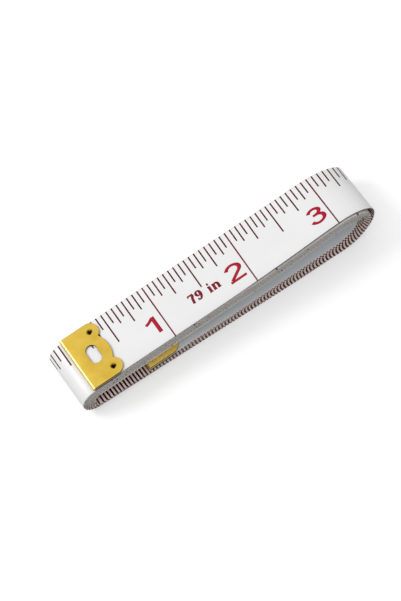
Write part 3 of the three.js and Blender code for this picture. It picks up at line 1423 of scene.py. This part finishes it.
    def build_piece(self, name: str, node: str, ribbon: Ribbon) -> list[Piece]:
        """Makes one piece of the tape and the figures on it.

        Args:
            name: the piece's name.
            node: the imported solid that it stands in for.
            ribbon: its stations.

        Returns:
            The piece of tape, and its figures if it has any.
        """
        piece = new_piece(name, self.skin(ribbon), [self.vinyl])
        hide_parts(node)
        figures = self.build_figures(name, ribbon)
        on_it = [figures] if figures else []
        long = float(ribbon.reading[0, -1] - ribbon.reading[0, 0])
        log.info("%s: %.1f mm of tape, %d faces", name, long, len(piece.data.polygons))
        return [piece, *on_it]

    def build(self) -> None:
        """Builds the winding and the free run, and ties the winding's pieces to its body."""
        marks = [int(np.argmin(abs(self.whole.reading[0] - cut))) for cut in self.cuts]
        bounds = [0, *marks, len(self.whole) - 1]
        last = len(self.names) - 1
        for number, name in enumerate(self.names):
            stretch = self.whole.part(bounds[last - number], bounds[last - number + 1])
            for piece in self.build_piece(name, self.nodes[number], stretch):
                if number == 0:
                    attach(piece, self.bodies[0])
                    continue
                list(self.bodies[number - 1 : number + 1])
                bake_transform(piece)
        log.info("tape: %.0f mm in %d laps", self.length, self.path.laps)


@dataclass
class EndClip:
    """A clip of brass strip, folded over the tape's end, with an oval window and two crimp pits."""

    name: str
    node: str
    body: str
    place: Matrix
    width: float = 17.0
    length: float = 10.4
    sheet: float = 0.4
    fold_radius: float = 0.625
    notch_spacing: float = 7.5
    notch_depth: float = 1.27
    lobe_drop: float = 0.25
    window_place: float = 5.5
    window_across: float = 5.5
    window_along: float = 3.1
    pit_radius: float = 0.8
    pit_depth: float = 0.38
    edge_round: float = 0.19
    edge_segments: int = 3
    edge_angle: float = 50.0
    arc_steps: int = 12
    # Each step down into a pit: its share of the radius, its share of the depth and how far it is marked for
    # the painted shade of the pit's floor
    pit_steps: tuple[Place, ...] = ((0.9, 0.25, 0.0), (0.72, 1.0, 1.0))
    pit_corners: int = 3
    pit_corner: float = 0.28
    pit_slack: float = 0.016

    @property
    def half(self) -> float:
        """Half the clip's width."""
        return self.width / 2

    def lobe(self) -> tuple[float, float, float]:
        """The side lobe that touches the clip's end and its side.

        Returns:
            Its radius, and its middle's place along the clip and across it.
        """
        inset = self.half - self.notch_spacing / 2
        radius = inset + self.notch_depth - math.sqrt(2 * inset * self.notch_depth)
        return radius, self.length - radius, self.half - radius

    def outline(self, bm: Mesh) -> None:
        """Draws the leaf's lobed outline, one half first and then its mirror image.

        Args:
            bm: the mesh that gets the edges.
        """
        _, lobe_x, lobe_y = self.lobe()
        notch = Vector((self.length - self.notch_depth, self.notch_spacing / 2))
        rise = self.notch_depth - self.lobe_drop
        centre_radius = (notch.y**2 + rise**2) / (2 * rise)
        centre = self.length - self.lobe_drop - centre_radius
        side_turn = math.atan2(notch.y - lobe_y, notch.x - lobe_x)
        centre_turn = math.asin(notch.y / centre_radius)
        middle = bm.verts.new((self.fold_radius, 0, 0))
        corner = bm.verts.new((self.fold_radius, self.half, 0))
        end = bm.verts.new((lobe_x, self.half, 0))
        bm.edges.new((middle, corner))
        bm.edges.new((corner, end))
        for cent, turn in (((lobe_x, lobe_y, 0), math.pi / 2 - side_turn), ((centre, 0, 0), centre_turn)):
            about = {"cent": cent, "axis": (0, 0, 1), "angle": -turn, "steps": self.arc_steps}
            spun = bmesh.ops.spin(bm, geom=[end], use_merge=False, **about)
            end = next(v for v in spun["geom_last"] if isinstance(v, bmesh.types.BMVert))
        end.co.y = 0.0
        bmesh.ops.mirror(bm, geom=bm.verts[:] + bm.edges[:], merge_dist=WELD, axis="Y")
        bmesh.ops.remove_doubles(bm, verts=bm.verts, dist=WELD)

    def leaf(self, front: bool) -> Mesh:
        """Makes one flat leaf at the height of the fold's outer face.

        Args:
            front: whether it has the window and the pits.

        Returns:
            The leaf's mesh, facing up.
        """
        bm = bmesh.new()
        pit = bm.verts.layers.float.new(PIT_SHADE_LAYER)
        self.outline(bm)
        _, lobe_x, lobe_y = self.lobe()
        spots = [Vector((lobe_x, side * lobe_y, 0)) for side in (-1, 1)] if front else []
        if front:
            radius = self.window_along / 2
            ring = bmesh.ops.create_circle(bm, segments=4 * self.arc_steps, radius=radius)["verts"]
            for vert in ring:
                vert.co.y += math.copysign(self.window_across / 2 - radius, vert.co.y)
                vert.co.x += self.window_place
        for spot in spots:
            place = Matrix.Translation(spot)
            bmesh.ops.create_circle(bm, segments=self.arc_steps, radius=self.pit_radius, matrix=place)
        bmesh.ops.triangle_fill(bm, use_beauty=True, use_dissolve=False, edges=bm.edges[:])
        for face in bm.faces:
            if face.normal.z < 0:
                face.normal_flip()
        for spot in spots:
            self.press_pit(bm, spot, pit)
        return bm

    def press_pit(self, bm: Mesh, spot: Vector, pit: bmesh.types.BMLayerItem) -> None:
        """Presses one crimp pit: a round rim that falls to a small three cornered floor, which is marked for
        painted shade.

        Args:
            bm: the leaf.
            spot: the pit's middle.
            pit: the layer that marks its floor for painted shade.
        """
        round_it = {v for v in bm.verts if abs((v.co - spot).length - self.pit_radius) < self.pit_slack}
        ring = [e for e in bm.edges if e.is_boundary and round_it.issuperset(e.verts)]
        for shrink, depth, mark in self.pit_steps:
            for edge in ring:
                edge.smooth = False
            made = bmesh.ops.extrude_edge_only(bm, edges=ring)["geom"]
            verts = [g for g in made if isinstance(g, bmesh.types.BMVert)]
            edges = [g for g in made if isinstance(g, bmesh.types.BMEdge)]
            ring = [e for e in edges if all(v in verts for v in e.verts)]
            for vert in verts:
                away = (vert.co - spot) * Vector((1, 1, 0))
                turn = math.atan2(away.y, away.x)
                corner = 1 + self.pit_corner * mark * math.cos(self.pit_corners * turn)
                vert.co = spot + away * shrink * corner - Vector((0, 0, self.pit_depth * depth))
                vert[pit] = mark
        floor = bmesh.ops.contextual_create(bm, geom=ring)["faces"]
        bmesh.ops.recalc_face_normals(bm, faces=bm.faces)
        for face in floor:
            if face.normal.z < 0:
                bmesh.ops.reverse_faces(bm, faces=bm.faces)
                break

    def folded_sheet(self) -> Mesh:
        """Joins the two leaves by the fold, as the outer face of the sheet.

        Returns:
            The open sheet, with the tape's middle at height 0.
        """
        bm = self.leaf(front=True)
        fold = [e for e in bm.edges if all(abs(v.co.x - self.fold_radius) < WELD for v in e.verts)]
        bmesh.ops.spin(
            bm,
            geom=fold,
            cent=(self.fold_radius, 0, -self.fold_radius),
            axis=(0, 1, 0),
            angle=-math.pi,
            steps=self.arc_steps,
            use_merge=False,
        )
        back = self.leaf(front=False)
        bmesh.ops.translate(back, vec=(0, 0, -2 * self.fold_radius), verts=back.verts)
        joined = bpy.data.meshes.new("clip_back")
        back.to_mesh(joined)
        back.free()
        bm.from_mesh(joined)
        bpy.data.meshes.remove(joined)
        bmesh.ops.remove_doubles(bm, verts=bm.verts, dist=WELD)
        bmesh.ops.recalc_face_normals(bm, faces=bm.faces)
        if max(bm.faces, key=lambda f: f.calc_center_median().z).normal.z < 0:
            bmesh.ops.reverse_faces(bm, faces=bm.faces)
        bmesh.ops.translate(bm, vec=(0, 0, self.fold_radius), verts=bm.verts)
        return bm

    def build(self, brass: Sequence[Material]) -> Piece:
        """Makes the clip, gives the sheet its thickness and rounds its cut edges.

        Args:
            brass: its materials, in the order of Finish.

        Returns:
            The clip.
        """
        bm = self.folded_sheet()
        grain = bm.loops.layers.uv.new(GRAIN_MAP)
        for face in bm.faces:
            for loop in face.loops:
                loop[grain].uv = (loop.vert.co.y / self.width + 0.5, loop.vert.co.x / self.width)
            if face.calc_center_median().x < self.fold_radius:
                face.material_index = Finish.FOLD.value
        bmesh.ops.transform(bm, matrix=self.place, verts=bm.verts)
        piece = new_piece(self.name, bm, brass)
        wall = piece.modifiers.new("sheet", "SOLIDIFY")
        wall.material_offset_rim = Finish.RIM.value
        wall.thickness = self.sheet * MM
        wall.offset = -1.0
        wall.use_even_offset = True
        edge = piece.modifiers.new("stamped_edge", "BEVEL")
        edge.width = self.edge_round * MM
        edge.segments = self.edge_segments
        edge.limit_method = "ANGLE"
        edge.angle_limit = math.radians(self.edge_angle)
        edge.material = Finish.RIM.value
        edge.harden_normals = True
        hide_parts(self.node)
        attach(piece, self.body)
        log.info("%s: %d faces before its edges", self.name, len(piece.data.polygons))
        return piece


@dataclass
class Studio:
    """A pale floor under soft light, and the camera of the photograph."""

    lead: Lead
    image: tuple[int, int] = (401, 601)
    pixels_per_mm: float = 3.8997
    azimuth: float = -13.3208
    elevation: float = 62.2283
    roll: float = 20.5068
    zero_pixel: Point = (82.2705, 382.4333)
    camera_distance: float = 0.6
    floor_size: float = 3.0
    floor_colour: str = "#d2d2d2"
    sky: float = 0.94
    horizon: float = 0.15
    sky_band: Point = (0.1, 0.6)
    sky_axis: Place = (0.0, 0.174, 0.985)
    floor_glow: float = 0.42
    key_power: float = 1.75
    key_size: float = 0.3
    key_place: Place = (-0.38, 0.32, 0.48)
    clip_start: float = 0.01
    paper_grain: float = 1.111
    paper_depth: float = 0.02
    paper_strength: float = 0.02
    paper_roughness: float = 0.9
    paper_gloss: float = 0.1

    def axes(self) -> tuple[Vector, Vector, Vector]:
        """The picture's right, its up and the way back to the camera.

        Returns:
            Three unit vectors of the frame.
        """
        a, e, r = (math.radians(v) for v in (self.azimuth, self.elevation, self.roll))
        level = Vector((math.cos(a), math.sin(a), 0.0))
        back = Vector((math.sin(a) * math.cos(e), -math.cos(a) * math.cos(e), math.sin(e)))
        upright = back.cross(level)
        right = level * math.cos(r) - upright * math.sin(r)
        return right, level * math.sin(r) + upright * math.cos(r), back

    def add_camera(self) -> None:
        """Makes the camera: so long a lens that it is drawn without perspective."""
        right, up, back = self.axes()
        across = (self.image[0] / 2 - self.zero_pixel[0]) / self.pixels_per_mm
        upward = (self.zero_pixel[1] - self.image[1] / 2) / self.pixels_per_mm
        target = (self.lead.origin + right * across + up * upward) * MM
        data = bpy.data.cameras.new("camera")
        data.type = "ORTHO"
        data.ortho_scale = self.image[1] / self.pixels_per_mm * MM
        data.clip_start = self.clip_start
        camera = bpy.data.objects.new("camera", data)
        turn = Matrix((right, up, back)).transposed().to_4x4()
        camera.matrix_world = Matrix.Translation(target + back * self.camera_distance) @ turn
        bpy.context.scene.collection.objects.link(camera)
        bpy.context.scene.camera = camera

    def add_floor(self) -> None:
        """Lays the floor, a matt white sheet that keeps the object's shadow."""
        bm = bmesh.new()
        bmesh.ops.create_grid(bm, x_segments=1, y_segments=1, size=self.floor_size / 2 / MM)
        material, tree = new_material("matt_white_paper")
        place = add_node(tree, "TexCoord").outputs["Object"]
        inputs = {"Vector": place, "Scale": 1 / (self.paper_grain * MM)}
        grain = add_node(tree, "TexNoise", inputs).outputs["Fac"]
        inputs = {"Strength": self.paper_strength, "Distance": self.paper_depth * MM, "Height": grain}
        bump = add_node(tree, "Bump", inputs).outputs[0]
        seen = add_node(tree, "LightPath").outputs["Is Camera Ray"]
        inputs = {0: seen, 1: self.floor_glow}
        glow = add_node(tree, "Math", inputs, operation="MULTIPLY").outputs[0]
        inputs = {
            "Base Color": linear(self.floor_colour),
            "Roughness": self.paper_roughness,
            "Specular IOR Level": self.paper_gloss,
            "Normal": bump,
            "Emission Color": linear(WHITE),
            "Emission Strength": glow,
        }
        shader = add_node(tree, "BsdfPrincipled", inputs)
        add_node(tree, "OutputMaterial", {0: shader.outputs[0]})
        floor = new_piece("floor", bm, [material])

    def add_light(self) -> None:
        """Lights the object with a white sky and one large soft lamp on the left."""
        world = bpy.data.worlds.new("studio")
        bpy.context.scene.world = world
        world.use_nodes = True
        tree = world.node_tree
        tree.nodes.clear()
        way = add_node(tree, "TexCoord").outputs["Generated"]
        inputs = {0: way, 1: self.sky_axis}
        height = add_node(tree, "VectorMath", inputs, operation="DOT_PRODUCT").outputs["Value"]
        inputs = {
            "Value": height,
            "From Min": self.sky_band[0],
            "From Max": self.sky_band[1],
            "To Min": self.horizon,
            "To Max": self.sky,
        }
        dome = add_node(tree, "MapRange", inputs).outputs[0]
        seen = add_node(tree, "LightPath").outputs["Is Camera Ray"]
        strength = add_node(tree, "Mix", {0: seen, 2: dome, 3: 1.0}).outputs[0]
        sky = add_node(tree, "Background", {"Color": linear(WHITE), "Strength": strength})
        add_node(tree, "OutputWorld", {0: sky.outputs[0]})
        self.add_lamp("soft_key", self.key_place, self.key_size, self.key_power)

    def add_lamp(self, name: str, place: Place, size: float, power: float) -> None:
        """Hangs one round soft lamp that faces the object.

        Args:
            name: the lamp's name.
            place: where it hangs, in metres.
            size: how wide it is.
            power: how strong it is.
        """
        data = bpy.data.lights.new(name, "AREA")
        data.shape = "DISK"
        data.size = size
        data.energy = power
        lamp = bpy.data.objects.new(name, data)
        lamp.location = place
        lamp.rotation_euler = (-Vector(place)).to_track_quat("-Z", "Y").to_euler()
        bpy.context.scene.collection.objects.link(lamp)

    def build(self) -> None:
        """Builds the whole studio."""
        self.add_camera()
        self.add_floor()
        self.add_light()
        bpy.context.scene.view_settings.view_transform = "Standard"
        log.info("studio: camera, floor and lamp")


def main() -> None:
    """Builds the studio, the tape and its clips in order."""
    logging.basicConfig(level=logging.INFO, format="%(name)s: %(message)s")
    lead = Lead.from_frame()
    Studio(lead).build()
    path = WindingPath(lead)
    PrintedTape(path).build()
    stamped, shaded_rim, fold_highlight, lit_brass = (b.build() for b in (STAMPED, SHADED_RIM, FOLD_HIGHLIGHT, LIT_INNER_BRASS))
    outer = EndClip("end_clip_outer", "outer_end_clip", "lead_tip", path.outer_clip())
    outer.build([stamped, shaded_rim, fold_highlight])
    inner = EndClip("end_clip_inner", "inner_end_clip", "winding", path.inner_clip())
    inner.build([lit_brass, shaded_rim, fold_highlight])


if __name__ == "__main__":
    main()
